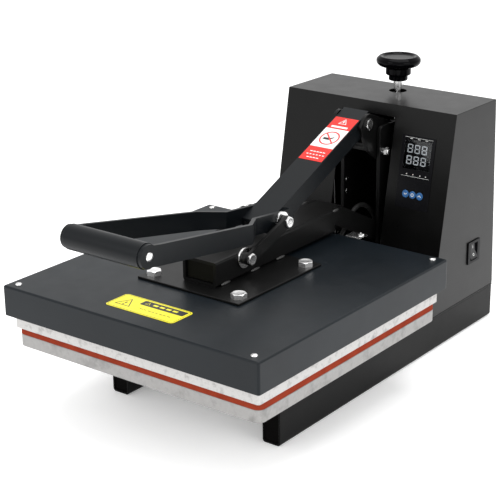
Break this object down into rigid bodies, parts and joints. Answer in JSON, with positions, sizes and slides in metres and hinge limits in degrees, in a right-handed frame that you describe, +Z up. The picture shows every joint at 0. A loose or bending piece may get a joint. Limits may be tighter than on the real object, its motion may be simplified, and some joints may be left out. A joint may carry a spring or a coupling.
{
  "type": "heat press",
  "caption": "Clamshell heat press with a toggle lever, a square heat platen on a silicone pad, a pressure knob and a rear control housing on two rails.",
  "frame": {"origin": "on the bench, under the middle of the bounding box", "axes": "+X to the operator's right, +Y from the operator to the back, +Z up"},
  "size_m": [0.395, 0.6703, 0.379],
  "materials": {
    "rail_paint": "satin powder coat",
    "plug_plastic": "matte moulded",
    "lower_plate": "dull cast, lightly machined",
    "cast_platen": "mottled casting",
    "silicone": "matte silicone",
    "frame_paint": "satin powder coat",
    "lever_paint": "satin powder coat",
    "housing_paint": "satin powder coat",
    "cover_paint": "satin powder coat",
    "bare_steel": "turned",
    "zinc": "bright zinc plate",
    "brass": "turned",
    "knob_plastic": "gloss moulded",
    "panel_film": "gloss film",
    "digits": "backlit segments",
    "circuit_board": "solder mask",
    "relay_case": "moulded",
    "switch_plastic": "matte moulded",
    "paddle_plastic": "gloss moulded",
    "button_plastic": "gloss moulded",
    "mineral_wool": "felted fibre",
    "element_sheath": "oxidised",
    "red_label": "laminated print",
    "yellow_label": "laminated print",
    "gland_nylon": "matte moulded",
    "lead_rubber": "matte sheath"
  },
  "bodies": {
    "frame": {"rail_left": "rail_paint", "rail_right": "rail_paint", "rail_end_plugs": "plug_plastic", "cross_channels": "rail_paint", "lower_platen": "lower_plate", "silicone_pad": "silicone", "base_deck": "rail_paint", "frame_plate_left": "frame_paint", "frame_plate_right": "frame_paint", "screw_bridge": "bare_steel", "frame_bolts": "zinc", "housing_shell": "housing_paint", "rear_panel": "housing_paint", "housing_screws": "zinc", "control_panel": "panel_film", "digit_segments": "digits", "controller_board": "circuit_board", "power_relay": "relay_case", "switch_housing": "switch_plastic", "power_inlet": "switch_plastic", "rocker_pivot_bolt": "zinc", "arm_pivot_bolt": "zinc", "supply_lead": "lead_rubber"},
    "pressure_rocker": {"rocker_plate_left": "frame_paint", "rocker_plate_right": "frame_paint", "trunnion_nut": "brass"},
    "knob": {"pressure_knob": "knob_plastic", "pressure_screw": "zinc"},
    "lever": {"lever_channel": "lever_paint", "handle_plate_left": "lever_paint", "handle_plate_right": "lever_paint", "grip_tube": "lever_paint", "grip_rod": "zinc", "toggle_pin": "zinc", "lever_pivot_bolt": "zinc", "warning_label": "red_label"},
    "links": {"link_left": "frame_paint", "link_right": "frame_paint", "link_bolts": "zinc"},
    "arm": {"swing_arm": "frame_paint", "arm_end_plug": "plug_plastic", "fork_leg_left": "frame_paint", "fork_leg_right": "frame_paint", "front_pivot_bolt": "zinc", "mount_plate": "frame_paint", "mount_bolts": "zinc", "bolt_spacers": "bare_steel", "platen_cover": "cover_paint", "cover_screws": "zinc", "heat_platen": "cast_platen", "insulation_pad": "mineral_wool", "heating_element": "element_sheath", "caution_label": "yellow_label", "earth_bracket": "zinc", "lead_gland": "gland_nylon", "heater_lead": "lead_rubber"},
    "switch_paddle": {"switch_rocker": "paddle_plastic"},
    "button_1": {"button_left": "button_plastic"},
    "button_2": {"button_middle": "button_plastic"},
    "button_3": {"button_right": "button_plastic"}
  },
  "joints": [
    {"name": "lever_swing", "type": "hinge", "parent": "pressure_rocker", "child": "lever", "pos_m": [0, 0.168, 0.307], "axis": [-1, 0, 0], "range_deg": [0, 70]},
    {"name": "arm_swing", "type": "hinge", "parent": "frame", "child": "arm", "pos_m": [0, 0.216, 0.135], "axis": [-1, 0, 0], "range_deg": [0, 38.62]},
    {"name": "link_swing", "type": "hinge", "parent": "arm", "child": "links", "pos_m": [0, -0.11, 0.197], "axis": [1, 0, 0], "range_deg": [0, 94.34]},
    {"name": "knob_turn", "type": "hinge", "parent": "frame", "child": "knob", "pos_m": [0, 0.281, 0.36], "axis": [0, 0, 1], "range_deg": [-360, 360]},
    {"name": "rocker_tilt", "type": "hinge", "parent": "frame", "child": "pressure_rocker", "pos_m": [0, 0.194, 0.265], "axis": [1, 0, 0], "range_deg": [-0.83, 0.83]},
    {"name": "power_switch", "type": "hinge", "parent": "frame", "child": "switch_paddle", "pos_m": [0.1352, 0.268, 0.119], "axis": [0, 1, 0], "range_deg": [0, 18]},
    {"name": "press_button_1", "type": "slide", "parent": "frame", "child": "button_1", "axis": [0, 0.9833, -0.1822], "range_m": [0, 0.0008], "stiffness_N_per_m": 500},
    {"name": "press_button_2", "type": "slide", "parent": "frame", "child": "button_2", "axis": [0, 0.9833, -0.1822], "range_m": [0, 0.0008], "stiffness_N_per_m": 500},
    {"name": "press_button_3", "type": "slide", "parent": "frame", "child": "button_3", "axis": [0, 0.9833, -0.1822], "range_m": [0, 0.0008], "stiffness_N_per_m": 500}
  ],
  "couplings": [
    {"joint": "arm_swing", "follows": "lever_swing", "ratio": 0.55164},
    {"joint": "link_swing", "follows": "lever_swing", "ratio": 1.3475},
    {"joint": "rocker_tilt", "follows": "knob_turn", "ratio": -0.0022867}
  ]
}
